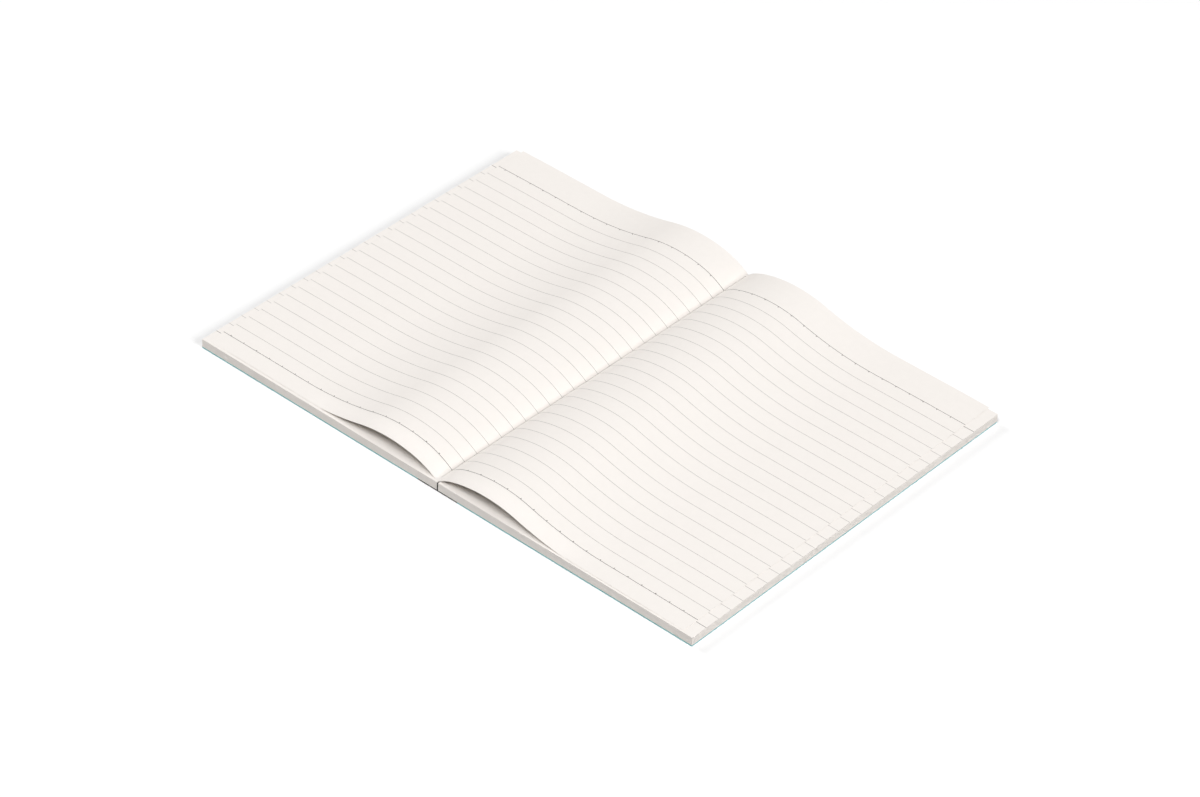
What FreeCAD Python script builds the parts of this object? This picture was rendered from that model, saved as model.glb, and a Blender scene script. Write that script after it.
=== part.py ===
import FreeCAD, Part
import math
import os
import Sketcher
from FreeCAD import Placement, Rotation, Vector

# Notebook lying open flat at its middle, in millimetres.
# X runs across the spread with the spine at 0, Y runs up the page towards its head,
# Z is up and starts at the underside of the covers. The origin is the middle of the spine.
#
# The binding is a strip of cloth tape. Its two laps hold the card covers, and its middle
# holds the spine faces of the pages. With the book open flat the two halves stand back to
# back, so the middle of the tape is folded double between them.
#
# Each sub-part is drawn on the right side of the spine. The pieces of the left side are
# the same construction, turned half a turn about Z.

SIZES = {
    # Pages and covers
    "page_width": 145.0,
    "page_height": 210.0,
    "block_thickness": 4.25,
    "cover_thickness": 0.55,
    # Cloth tape of the spine
    "tape_thickness": 0.26,
    "lap_reach": 11.7,
    "fold_half_gap": 0.015,
    "fold_below_top": 0.15,
    "crease_radius": 0.03,
    # Gap left by the glue between the tape and what it holds
    "glue_gap": 0.02,
    # Top leaf of either half, lifted beside the spine
    "leaf_thickness": 0.12,
    "leaf_gap": 0.04,
    # Left leaf: distances are measured outwards from the spine
    "left_edge_inset": 3.1,
    "left_head_shift": 1.4,
    "left_foot_reach": 90.4,
    "left_crest_reach": 30.4,
    "left_crest_rise": 8.1,
    "left_crest_radius": 67.0,
    "left_crest_to_fall": 15.2,
    "left_landing_reach": 1.35,
    # Right leaf, which crosses the spine and meets the left one just beyond it
    "right_edge_inset": 5.7,
    "right_head_shift": 0.95,
    "right_foot_reach": 88.0,
    "right_crest_reach": 27.5,
    "right_crest_rise": 8.15,
    "right_crest_radius": 65.0,
    "right_crest_to_fall": 20.0,
    "right_landing_reach": -1.08,
}

# Places that follow from the sizes above, as expressions of the sheet
BLOCK_TOP = "(sizes.cover_thickness + sizes.block_thickness)"
RISER_FACE = "(sizes.fold_half_gap + sizes.tape_thickness)"
CREASE_CENTRE_X = "(" + RISER_FACE + " + sizes.crease_radius)"
CREASE_CENTRE_Z = "(sizes.tape_thickness + sizes.crease_radius)"
FOLD_TOP = "(" + BLOCK_TOP + " - sizes.fold_below_top)"
FOLD_CENTRE_Z = "(" + FOLD_TOP + " - " + RISER_FACE + ")"
SPINE_FACE = "(" + RISER_FACE + " + sizes.glue_gap)"
RECESS_DEPTH = "(sizes.tape_thickness + sizes.glue_gap)"
RECESS_END = "(sizes.lap_reach + sizes.glue_gap)"
LEAF_REST = "(" + BLOCK_TOP + " + sizes.leaf_gap)"

TURNED = Rotation(Vector(0, 0, 1), 180)
PLAIN = Rotation()

doc = FreeCAD.newDocument("open_notebook")


# Sheet of driving dimensions

sheet = doc.addObject("Spreadsheet::Sheet", "sizes")
for row, (alias, value) in enumerate(SIZES.items(), start=1):
    sheet.set("A%d" % row, alias)
    sheet.set("B%d" % row, str(value))
    sheet.setAlias("B%d" % row, alias)
doc.recompute()


def value_of(expression):
    """Number that an expression of the sheet stands for."""
    result = sheet.evalExpression(expression)
    return float(getattr(result, "Value", result))


# Sketch helpers

def new_body(label, rotation=PLAIN):
    """Body of one sub-part. Its label is the name of its file."""
    body = doc.addObject("PartDesign::Body", label)
    body.Label = label
    body.Placement = Placement(Vector(0, 0, 0), rotation)
    return body


def new_sketch(body, name, role, offset=None):
    """Sketch on one of the body's own origin planes, moved off it along its normal."""
    sketch = body.newObject("Sketcher::SketchObject", name)
    for plane in body.Origin.OriginFeatures:
        if plane.Role == role:
            sketch.AttachmentSupport = [(plane, "")]
    sketch.MapMode = "FlatFace"
    if offset:
        sketch.setExpression(".AttachmentOffset.Base.z", offset)
    return sketch


def bind(sketch, kind, places, expression):
    """Dimension of a sketch whose size is an expression of the sheet."""
    index = sketch.addConstraint(Sketcher.Constraint(kind, *places, value_of(expression)))
    sketch.setExpression("Constraints[%d]" % index, expression)


def pin_point(sketch, geometry, end, across, up):
    """Hold one end of a line or arc at a place measured from the sketch's origin."""
    bind(sketch, "DistanceX", (-1, 1, geometry, end), across)
    bind(sketch, "DistanceY", (-1, 1, geometry, end), up)


def end_at(sketch, geometry, point):
    """Number of the end of a line or arc that lies at a point: 1 start, 2 end."""
    start = sketch.getPoint(geometry, 1)
    end = sketch.getPoint(geometry, 2)
    return 1 if start.distanceToPoint(point) < end.distanceToPoint(point) else 2


def add_rectangle(sketch, low_x, high_x, low_y, high_y):
    """Rectangle whose sides stand at four expressions of the sheet."""
    x0, x1, y0, y1 = [value_of(side) for side in (low_x, high_x, low_y, high_y)]
    corners = [Vector(x0, y0, 0), Vector(x1, y0, 0), Vector(x1, y1, 0), Vector(x0, y1, 0)]
    lines = []
    for start, end in zip(corners, corners[1:] + corners[:1]):
        lines.append(sketch.addGeometry(Part.LineSegment(start, end), False))
    for line, following in zip(lines, lines[1:] + lines[:1]):
        sketch.addConstraint(Sketcher.Constraint("Coincident", line, 2, following, 1))
    for line in lines[0::2]:
        sketch.addConstraint(Sketcher.Constraint("Horizontal", line))
    for line in lines[1::2]:
        sketch.addConstraint(Sketcher.Constraint("Vertical", line))
    pin_point(sketch, lines[0], 1, low_x, low_y)
    pin_point(sketch, lines[2], 1, high_x, high_y)


def pad(body, name, sketch, length, symmetric=False):
    """Raise a sketch by a length, or by half of it to either side."""
    feature = body.newObject("PartDesign::Pad", name)
    feature.Profile = sketch
    feature.setExpression("Length", length)
    feature.SideType = "Symmetric" if symmetric else "One side"
    return feature


def pocket(body, name, sketch, depth):
    """Cut a sketch on the body's underside upwards by a depth."""
    feature = body.newObject("PartDesign::Pocket", name)
    feature.Profile = sketch
    feature.setExpression("Length", depth)
    feature.Reversed = True
    return feature


# Card covers

def cover(label, rotation):
    """One card, pared on its outer face beside the spine, where the tape lies flush."""
    body = new_body(label, rotation)
    card = new_sketch(body, label + "_card_outline", "XY_Plane")
    add_rectangle(card, SPINE_FACE, "sizes.page_width",
                  "-sizes.page_height / 2", "sizes.page_height / 2")
    pad(body, label + "_card", card, "sizes.cover_thickness")
    lap = new_sketch(body, label + "_lap_outline", "XY_Plane")
    add_rectangle(lap, "0", RECESS_END, "-sizes.page_height", "sizes.page_height")
    pocket(body, label + "_lap_recess", lap, RECESS_DEPTH)
    ends = new_sketch(body, label + "_end_outline", "XY_Plane")
    inner_end = "(sizes.page_height / 2 - " + RECESS_DEPTH + ")"
    add_rectangle(ends, "0", RECESS_END, inner_end, "sizes.page_height")
    add_rectangle(ends, "0", RECESS_END, "-sizes.page_height", "-" + inner_end)
    pocket(body, label + "_end_cuts", ends, "2 * sizes.cover_thickness")
    return body


# Page blocks

def page_block(label, rotation):
    """Half of the pages, trimmed flush with the cover, without its lifted top leaf."""
    body = new_body(label, rotation)
    trimmed = new_sketch(body, label + "_page_outline", "XY_Plane", "sizes.cover_thickness")
    add_rectangle(trimmed, SPINE_FACE, "sizes.page_width",
                  "-sizes.page_height / 2", "sizes.page_height / 2")
    pad(body, label + "_pages", trimmed, "sizes.block_thickness")
    return body


# Cloth tape

def tape_profile(body):
    """Right half of the tape's section: the lap, the crease, the riser and half the fold."""
    sketch = new_sketch(body, "tape_section", "XZ_Plane")
    half_gap = value_of("sizes.fold_half_gap")
    face = value_of(RISER_FACE)
    thickness = value_of("sizes.tape_thickness")
    reach = value_of("sizes.lap_reach")
    radius = value_of("sizes.crease_radius")
    crease = Vector(value_of(CREASE_CENTRE_X), value_of(CREASE_CENTRE_Z), 0)
    fold = Vector(0, value_of(FOLD_CENTRE_Z), 0)
    diagonal = math.sqrt(0.5)

    def rounded(centre, size, start, middle, end):
        points = [centre + Vector(x, y, 0) * size for x, y in (start, middle, end)]
        return Part.Arc(*points)

    outline = [
        rounded(fold, face, (0, 1), (diagonal, diagonal), (1, 0)),
        Part.LineSegment(Vector(face, fold.y, 0), Vector(face, crease.y, 0)),
        rounded(crease, radius, (-1, 0), (-diagonal, -diagonal), (0, -1)),
        Part.LineSegment(Vector(crease.x, thickness, 0), Vector(reach, thickness, 0)),
        Part.LineSegment(Vector(reach, thickness, 0), Vector(reach, 0, 0)),
        Part.LineSegment(Vector(reach, 0, 0), Vector(crease.x, 0, 0)),
        rounded(crease, crease.y, (0, -1), (-diagonal, -diagonal), (-1, 0)),
        Part.LineSegment(Vector(half_gap, crease.y, 0), Vector(half_gap, fold.y, 0)),
        rounded(fold, half_gap, (1, 0), (diagonal, diagonal), (0, 1)),
        Part.LineSegment(Vector(0, fold.y + half_gap, 0), Vector(0, fold.y + face, 0)),
    ]
    edges = [sketch.addGeometry(piece, False) for piece in outline]
    # Where each edge begins, as distances from the spine and from the underside
    begins = [
        ("0", FOLD_TOP),
        (RISER_FACE, FOLD_CENTRE_Z),
        (RISER_FACE, CREASE_CENTRE_Z),
        (CREASE_CENTRE_X, "sizes.tape_thickness"),
        ("sizes.lap_reach", "sizes.tape_thickness"),
        ("sizes.lap_reach", "0"),
        (CREASE_CENTRE_X, "0"),
        ("sizes.fold_half_gap", CREASE_CENTRE_Z),
        ("sizes.fold_half_gap", FOLD_CENTRE_Z),
        ("0", FOLD_CENTRE_Z + " + sizes.fold_half_gap"),
    ]
    corners = [Vector(value_of(across), value_of(up), 0) for across, up in begins]
    for number, edge in enumerate(edges):
        before = edges[number - 1]
        corner = corners[number]
        own_end = end_at(sketch, edge, corner)
        joined_end = end_at(sketch, before, corner)
        sketch.addConstraint(Sketcher.Constraint("Coincident", before, joined_end, edge, own_end))
        pin_point(sketch, edge, own_end, *begins[number])
    for arc, size in ((edges[0], RISER_FACE), (edges[2], "sizes.crease_radius"),
                      (edges[6], CREASE_CENTRE_Z), (edges[8], "sizes.fold_half_gap")):
        bind(sketch, "Radius", (arc,), size)
    return sketch


def spine_tape(label):
    """Cloth strip folded double between the halves, with its ends turned up over the card."""
    body = new_body(label)
    section = tape_profile(body)
    pad(body, "tape_strip", section, "sizes.page_height", symmetric=True)
    ends = new_sketch(body, "turned_up_ends", "XY_Plane")
    inner_end = "(sizes.page_height / 2 - sizes.tape_thickness)"
    add_rectangle(ends, SPINE_FACE, "sizes.lap_reach", inner_end, "sizes.page_height / 2")
    add_rectangle(ends, SPINE_FACE, "sizes.lap_reach", "-sizes.page_height / 2", "-" + inner_end)
    pad(body, "tape_turned_up", ends, "sizes.cover_thickness")
    doc.recompute()
    other_half = body.newObject("PartDesign::Mirrored", "tape_left_half")
    other_half.Originals = [body.getObject("tape_strip"), body.getObject("tape_turned_up")]
    for plane in body.Origin.OriginFeatures:
        if plane.Role == "YZ_Plane":
            other_half.MirrorPlane = (plane, [""])
    body.Tip = other_half
    return body


# Lifted top leaves

def leaf_path(body, label, side):
    """Underside of a leaf seen from its foot edge, from its outer edge to the spine.

    It lies flat as far as its foot, bends up, rounds the crest and falls to the spine:
    one line and three arcs, each tangent to the one before.
    """
    sketch = new_sketch(body, label + "_path", "XZ_Plane")
    outer = value_of("sizes.page_width - sizes." + side + "_edge_inset")
    rest = value_of(LEAF_REST)
    foot = Vector(value_of("sizes." + side + "_foot_reach"), rest, 0)
    crest_x = value_of("sizes." + side + "_crest_reach")
    rise = value_of("sizes." + side + "_crest_rise")
    crest_radius = value_of("sizes." + side + "_crest_radius")
    to_fall = value_of("sizes." + side + "_crest_to_fall")
    landing = Vector(value_of("sizes." + side + "_landing_reach"), rest, 0)

    # Two arcs that leave and arrive level have radii whose sum follows from run and rise
    run = foot.x - crest_x
    radii = (run * run + rise * rise) / (2 * rise)
    foot_radius = radii - crest_radius
    climb = math.asin(run / radii)
    foot_centre = foot + Vector(0, foot_radius, 0)
    crest_centre = Vector(crest_x, rest + rise - crest_radius, 0)

    def on_circle(centre, radius, angle):
        """Point at an angle from straight up, positive away from the spine."""
        return centre + Vector(math.sin(angle), math.cos(angle), 0) * radius

    inflection = on_circle(crest_centre, crest_radius, climb)
    fall_angle = -math.asin(to_fall / crest_radius)
    fall = on_circle(crest_centre, crest_radius, fall_angle)
    foot_middle = on_circle(foot_centre, -foot_radius, climb / 2)
    crest_middle = on_circle(crest_centre, crest_radius, 0)

    # The last arc is tangent at the fall and ends at the landing
    inward = (crest_centre - fall).normalize()
    chord = landing - fall
    fall_radius = chord.dot(chord) / (2 * chord.dot(inward))
    fall_centre = fall + inward * fall_radius
    fall_middle = fall_centre + ((fall + landing) * 0.5 - fall_centre).normalize() * fall_radius

    flat = sketch.addGeometry(Part.LineSegment(Vector(outer, rest, 0), foot), False)
    bend = sketch.addGeometry(Part.Arc(foot, foot_middle, inflection), False)
    crest = sketch.addGeometry(Part.Arc(inflection, crest_middle, fall), False)
    drop = sketch.addGeometry(Part.Arc(fall, fall_middle, landing), False)
    for before, after, point in ((flat, bend, foot), (bend, crest, inflection),
                                 (crest, drop, fall)):
        sketch.addConstraint(Sketcher.Constraint(
            "Tangent", before, end_at(sketch, before, point), after, end_at(sketch, after, point)))
    sketch.addConstraint(Sketcher.Constraint("Horizontal", flat))
    pin_point(sketch, flat, 1, "sizes.page_width - sizes." + side + "_edge_inset", LEAF_REST)
    bind(sketch, "DistanceX", (-1, 1, flat, 2), "sizes." + side + "_foot_reach")
    bind(sketch, "DistanceX", (-1, 1, crest, 3), "sizes." + side + "_crest_reach")
    bind(sketch, "Radius", (crest,), "sizes." + side + "_crest_radius")
    bind(sketch, "DistanceY", (crest, 3, flat, 1),
         "sizes." + side + "_crest_radius - sizes." + side + "_crest_rise")
    bind(sketch, "DistanceX", (crest, end_at(sketch, crest, fall), crest, 3),
         "sizes." + side + "_crest_to_fall")
    pin_point(sketch, drop, end_at(sketch, drop, landing),
              "sizes." + side + "_landing_reach", LEAF_REST)
    return sketch


def lifted_leaf(label, side, rotation):
    """Top leaf of one half, swept along its own curve and pushed a little to the head."""
    body = new_body(label, rotation)
    edge = new_sketch(body, label + "_outer_edge", "YZ_Plane",
                      "sizes.page_width - sizes." + side + "_edge_inset")
    add_rectangle(edge, "-sizes.page_height / 2", "sizes.page_height / 2",
                  LEAF_REST, LEAF_REST + " + sizes.leaf_thickness")
    path = leaf_path(body, label, side)
    doc.recompute()
    sweep = body.newObject("PartDesign::AdditivePipe", label + "_sheet")
    sweep.Profile = edge
    sweep.Spine = (path, ["Edge%d" % (number + 1) for number in range(path.GeometryCount)])
    body.setExpression(".Placement.Base.y", "sizes." + side + "_head_shift")
    return body


sub_parts = [
    cover("front_cover", TURNED),
    cover("back_cover", PLAIN),
    spine_tape("spine_tape"),
    page_block("left_page_block", TURNED),
    page_block("right_page_block", PLAIN),
    lifted_leaf("left_leaf", "left", TURNED),
    lifted_leaf("right_leaf", "right", PLAIN),
]
doc.recompute()


# Every object must have recomputed, and every sub-part must be one sound solid

for item in doc.Objects:
    if "Invalid" in item.State or "Error" in item.State:
        raise RuntimeError("%s did not recompute: %s" % (item.Label, item.State))
for part in sub_parts:
    if part.Shape.isNull() or not part.Shape.isValid():
        raise RuntimeError("%s has no valid shape" % part.Label)
    if len(part.Shape.Solids) != 1:
        raise RuntimeError("%s is %d solids" % (part.Label, len(part.Shape.Solids)))

os.makedirs("parts", exist_ok=True)
for part in sub_parts:
    part.Shape.exportStep("parts/" + part.Label + ".step")
    box = part.Shape.BoundBox
    print("%-16s %9.1f mm3  X %8.2f %8.2f  Y %8.2f %8.2f  Z %6.2f %6.2f" % (
        part.Label, part.Shape.Volume, box.XMin, box.XMax, box.YMin, box.YMax,
        box.ZMin, box.ZMax))
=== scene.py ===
"""Ruled notebook lying open flat at its middle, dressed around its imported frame.

Everything is in metres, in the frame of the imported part: X across the spread with the
spine at 0, Y up the page towards its head, Z up from the underside of the covers.
"""

import math
from functools import partial

import bmesh
import bpy
from bpy.props import FloatProperty, IntProperty, PointerProperty, StringProperty
from bpy.types import Operator, Panel, PropertyGroup
from mathutils import Matrix, Vector


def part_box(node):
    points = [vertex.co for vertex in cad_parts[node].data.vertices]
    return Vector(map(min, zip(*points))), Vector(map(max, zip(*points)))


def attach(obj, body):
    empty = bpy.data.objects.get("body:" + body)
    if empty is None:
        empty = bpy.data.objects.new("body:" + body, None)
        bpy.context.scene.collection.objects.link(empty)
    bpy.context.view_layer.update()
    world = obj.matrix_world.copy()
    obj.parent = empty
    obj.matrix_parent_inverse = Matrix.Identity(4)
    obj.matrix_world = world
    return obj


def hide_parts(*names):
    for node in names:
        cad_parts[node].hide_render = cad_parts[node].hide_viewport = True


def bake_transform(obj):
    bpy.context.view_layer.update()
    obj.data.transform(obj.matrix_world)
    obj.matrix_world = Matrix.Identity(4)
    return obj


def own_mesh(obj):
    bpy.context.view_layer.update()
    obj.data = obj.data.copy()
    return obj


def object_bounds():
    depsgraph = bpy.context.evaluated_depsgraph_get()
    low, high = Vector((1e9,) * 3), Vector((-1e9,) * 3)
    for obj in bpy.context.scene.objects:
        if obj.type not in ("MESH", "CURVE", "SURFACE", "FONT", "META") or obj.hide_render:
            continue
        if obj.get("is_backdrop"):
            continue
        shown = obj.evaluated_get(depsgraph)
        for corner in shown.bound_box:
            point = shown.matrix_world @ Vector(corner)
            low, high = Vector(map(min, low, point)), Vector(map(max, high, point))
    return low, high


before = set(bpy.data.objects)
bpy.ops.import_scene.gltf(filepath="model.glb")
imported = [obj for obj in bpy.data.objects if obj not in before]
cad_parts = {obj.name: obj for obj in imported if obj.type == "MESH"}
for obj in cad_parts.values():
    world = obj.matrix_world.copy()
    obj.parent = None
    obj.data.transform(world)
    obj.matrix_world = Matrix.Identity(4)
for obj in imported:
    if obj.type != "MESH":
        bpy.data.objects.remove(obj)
CAD_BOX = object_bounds()

bl_info = {
    "name": "Open Notebook",
    "version": (1, 0, 0),
    "blender": (4, 5, 0),
    "location": "View3D > Sidebar > Notebook",
    "description": "Builds the leaves, ruling, spine tape and covers of an open notebook",
    "category": "Object",
}

MM = 0.001
PHOTO_WIDTH = 1200
QUARTER_TURN = math.pi / 2.0

BLOCK_LOW, BLOCK_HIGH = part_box("right_page_block")
TAPE_LOW, TAPE_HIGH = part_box("spine_tape")
COVER_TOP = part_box("back_cover")[1].z
PAGE_HEIGHT = BLOCK_HIGH.y - BLOCK_LOW.y

# What differs between the two halves: the body of the pages and how far the half is turned
# from the right one. Both are built as right halves.
SIDES = {
    "right": {"body": "right_pages", "turn": 0.0},
    "left": {"body": "left_pages", "turn": math.pi},
}


# Settings that a user would change

def in_mm(name, description, millimetres):
    """Property that holds a length."""
    return FloatProperty(name=name, description=description, default=millimetres * MM,
                         unit="LENGTH")


def in_degrees(name, description, degrees):
    """Property that holds an angle."""
    return FloatProperty(name=name, description=description, default=math.radians(degrees),
                         subtype="ANGLE")


def in_hex(name, description, colour):
    """Property that holds a colour."""
    return StringProperty(name=name, description=description, default=colour)


class LeafSettings(PropertyGroup):
    """Curve of one lifted top leaf, measured from the spine."""
    foot_reach: in_mm("Foot reach", "Where the leaf lifts off the block", 88.0)
    crest_reach: in_mm("Crest reach", "Where the leaf is highest", 27.5)
    crest_radius: in_mm("Crest radius", "Radius of the bend over the crest", 65.0)
    crest_to_fall: in_mm("Crest to fall", "Run from the crest to where the fall tightens", 20.0)
    landing_reach: in_mm(
        "Landing reach", "Where the leaf comes down, negative past the spine", -1.08)
    first_tick: in_mm("First tick", "First tick of the ruling, from the outer edge", 8.0)
    tick_pitch: in_mm("Tick pitch", "Distance between the ticks of a heavy line", 7.76)


class PaperSettings(PropertyGroup):
    """Writing paper of the blocks and of the lifted leaves."""
    leaf_count: IntProperty(
        name="Leaves", description="Leaves in one page block", default=42, min=2)
    paper_share: FloatProperty(
        name="Paper share", description="Share of a leaf's pitch that is paper and not air",
        default=0.9, min=0.1, max=1.0)
    stagger: in_mm("Stagger", "How far a leaf of the block stands out of line", 0.05)
    sheet_thickness: in_mm("Sheet thickness", "Thickness of a lifted leaf", 0.11)
    cockle: in_mm("Cockle", "Height of the slow waves in a lifted leaf", 0.3)
    cockle_size: in_mm("Cockle size", "Length of those waves", 70.0)
    cockle_fade: in_mm("Cockle fade", "Distance from either end over which they die away", 20.0)
    sag: in_mm("Sag", "Lift that a leaf loses at its foot edge, down to its block", 1.0)
    droop: FloatProperty(
        name="Droop", description="Share of its lift that a leaf loses there besides",
        default=0.03, min=0.0, max=1.0, subtype="FACTOR")
    droop_reach: in_mm("Droop reach", "Distance from the foot edge over which it droops", 9.0)
    left: PointerProperty(type=LeafSettings)
    right: PointerProperty(type=LeafSettings)


class RulingSettings(PropertyGroup):
    """Printed feint ruling with a heavier head and foot line."""
    rule_count: IntProperty(
        name="Rules", description="Rules on a page, the head and foot line among them",
        default=24, min=3)
    pitch: in_mm("Pitch", "Distance between two rules", 7.967)
    foot_margin: in_mm("Foot margin", "Distance from the foot of the page to the foot line", 9.02)
    rule_width: in_mm("Rule width", "Width of a feint rule", 0.26)
    heavy_width: in_mm("Heavy width", "Width of the head and foot line", 0.27)
    print_shift: in_mm("Print shift", "How far a top leaf is printed nearer its head", 0.2)
    tick_width: in_mm("Tick width", "Width of a tick along its line", 0.4)
    tick_length: in_mm("Tick length", "How far a tick stands off its line into the page", 0.55)
    film: in_mm("Film", "Thickness of the ink on the paper", 0.012)


class TapeSettings(PropertyGroup):
    """Cloth tape of the spine."""
    thickness: in_mm("Thickness", "Thickness of the cloth", 0.26)
    half_gap: in_mm("Half gap", "Half of the gap between the two layers of the fold", 0.015)
    crease_radius: in_mm("Crease radius", "Inner radius of the bend at the spine's corners", 0.03)
    edge_radius: in_mm("Edge radius", "Outer radius of the turned-up head and foot edge", 0.15)
    clearance: in_mm("Clearance", "How far the laps stay inside the outside of the covers", 0.01)
    thread_pitch: in_mm("Thread pitch", "Distance between two threads of the weave", 0.42)


class ColourSettings(PropertyGroup):
    """Colours as they look in even light, as sRGB hex values."""
    paper: in_hex("Paper", "Cream uncoated writing paper", "F5F0EB")
    paper_shade: in_hex("Paper shade", "The same paper where its pulp is denser", "F1ECE7")
    feint_ink: in_hex("Feint ink", "Grey ink of the rules", "B3AFAB")
    heavy_ink: in_hex("Heavy ink", "Grey ink of the head and foot line", "6E6A67")
    card: in_hex("Card", "Turquoise cover card", "88C7C9")
    card_shade: in_hex("Card shade", "The same card where its fibres lie darker", "7DBDC0")
    cloth: in_hex("Cloth", "Black book cloth on top of its threads", "211F1D")
    # Painted shade: the cloth's colour where it sinks between its threads, darker than on top of
    # them
    cloth_painted_shade: in_hex("Cloth shade", "Black book cloth between its threads", "131211")
    floor_seen: in_hex("Floor seen", "Floor as the camera sees it", "FFFFFF")
    floor_bounce: in_hex("Floor bounce", "Floor as it lights the notebook", "B4B4B4")


class SoftboxSettings(PropertyGroup):
    """One softbox that faces the notebook."""
    strength: FloatProperty(
        name="Strength", description="Light on a white card that faces it, 1 is white",
        default=0.545)
    height: in_degrees("Height", "Angle over the horizon", 30.0)
    turn: in_degrees("Turn", "Angle about Z from +X", -2.5)


class StageSettings(PropertyGroup):
    """Camera of the photograph and plain studio light."""
    azimuth: in_degrees("Azimuth", "Camera's turn about Z, 0 looks along +Y", 39.479)
    elevation: in_degrees("Elevation", "Camera's height over the horizon", 38.124)
    roll: in_degrees("Roll", "Camera's turn about its own view", 3.186)
    distance: in_mm("Distance", "Camera to the spine's foot plane", 1895.5)
    side_step: in_mm("Side step", "Camera's shift to its own right", 1.02)
    rise_step: in_mm("Rise step", "Camera's shift along its own up", -6.08)
    focal_pixels: FloatProperty(
        name="Focal length", description="Focal length in pixels of the photograph",
        default=4231.6)
    dome_strength: FloatProperty(
        name="Dome", description="Radiance of the even light from all round", default=0.11)
    right: PointerProperty(type=SoftboxSettings)
    left: PointerProperty(type=SoftboxSettings)
    front: PointerProperty(type=SoftboxSettings)
    softbox_distance: in_mm("Softbox distance", "Softboxes to notebook", 8000.0)
    softbox_size: in_mm("Softbox size", "Side of each softbox", 3100.0)
    floor_size: in_mm("Floor size", "Side of the floor", 20000.0)


class NotebookSettings(PropertyGroup):
    """All settings of the notebook."""
    paper: PointerProperty(type=PaperSettings)
    ruling: PointerProperty(type=RulingSettings)
    tape: PointerProperty(type=TapeSettings)
    colours: PointerProperty(type=ColourSettings)
    stage: PointerProperty(type=StageSettings)


# Nodes

def in_use(sockets, name=None):
    """First socket in use, or the first of those with this name."""
    return next(socket for socket in sockets
                if socket.enabled and name in (None, socket.name))


def set_inputs(node, inputs):
    """Set inputs of a node by name or number. Each takes a value, a socket to link from, a
    node whose first output is linked, or a list of these where one input joins several."""
    for key, value in inputs.items():
        socket = node.inputs[key] if isinstance(key, int) else in_use(node.inputs, key)
        for given in value if isinstance(value, list) else [value]:
            if isinstance(given, bpy.types.Node):
                given = in_use(given.outputs)
            if isinstance(given, bpy.types.NodeSocket):
                node.id_data.links.new(given, socket)
            else:
                socket.default_value = given


def add_node(tree, kind, inputs=None, **settings):
    """Add one node with its settings and its inputs."""
    node = tree.nodes.new(kind)
    for name, value in settings.items():
        setattr(node, name, value)
    set_inputs(node, inputs or {})
    return node


def new_geometry_tree(name, inputs):
    """Geometry tree with one geometry output and the named inputs, (name, socket type).
    Returns the tree, add_node for this tree and the inputs' sockets."""
    tree = bpy.data.node_groups.new(name, "GeometryNodeTree")
    tree.interface.new_socket("Geometry", in_out="OUTPUT", socket_type="NodeSocketGeometry")
    for label, kind in inputs:
        tree.interface.new_socket(label, in_out="INPUT", socket_type="NodeSocket" + kind)
    return tree, partial(add_node, tree), add_node(tree, "NodeGroupInput").outputs


def end_tree(tree, geometry, material):
    """End a tree in real geometry with one material."""
    real = add_node(tree, "GeometryNodeRealizeInstances", {"Geometry": geometry})
    finished = add_node(tree, "GeometryNodeSetMaterial", {"Geometry": real, "Material": material})
    add_node(tree, "NodeGroupOutput", {"Geometry": finished})
    return tree


def mesh_from_tree(name, tree, values):
    """Run a geometry tree on an empty mesh and return the result as a plain object."""
    carrier = bpy.data.objects.new(name + "_carrier", bpy.data.meshes.new(name + "_carrier"))
    bpy.context.scene.collection.objects.link(carrier)
    modifier = carrier.modifiers.new(name, "NODES")
    modifier.node_group = tree
    for item in tree.interface.items_tree:
        if item.in_out == "INPUT":
            modifier[item.identifier] = values[item.name]
    evaluated = carrier.evaluated_get(bpy.context.evaluated_depsgraph_get())
    mesh = bpy.data.meshes.new_from_object(evaluated)
    mesh.name = name
    bpy.data.objects.remove(carrier)
    if not mesh.polygons:
        raise RuntimeError("the tree of %s made no faces" % name)
    return new_object(name, mesh)


def new_object(name, data):
    """Link an object that holds this data."""
    piece = bpy.data.objects.new(name, data)
    bpy.context.scene.collection.objects.link(piece)
    return piece


def shade_by_angle(piece, angle=math.radians(30.0)):
    """Smooth faces that meet below an angle and keep the other edges sharp."""
    piece.data.shade_smooth()
    piece.data.set_sharp_from_angle(angle=angle)


# Materials

def linear(hex_colour):
    """Linear RGBA of an sRGB hex colour."""
    shares = [int(hex_colour[place:place + 2], 16) / 255.0 for place in (0, 2, 4)]
    low_slope, low_end, offset, power = 12.92, 0.04045, 0.055, 2.4
    return (*[share / low_slope if share <= low_end
              else ((share + offset) / (1.0 + offset)) ** power for share in shares], 1.0)


def new_material(name, roughness, specular):
    """Material with one Principled shader. Returns the material, add_node for its tree and
    the shader."""
    material = bpy.data.materials.new(name)
    material.use_nodes = True
    nodes = material.node_tree.nodes
    shader = next(node for node in nodes if node.type == "BSDF_PRINCIPLED")
    set_inputs(shader, {"Roughness": roughness, "Specular IOR Level": specular})
    return material, partial(add_node, material.node_tree), shader


def per_metre(size):
    """Scale of a texture whose features are this many metres across."""
    return 1.0 / size


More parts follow.
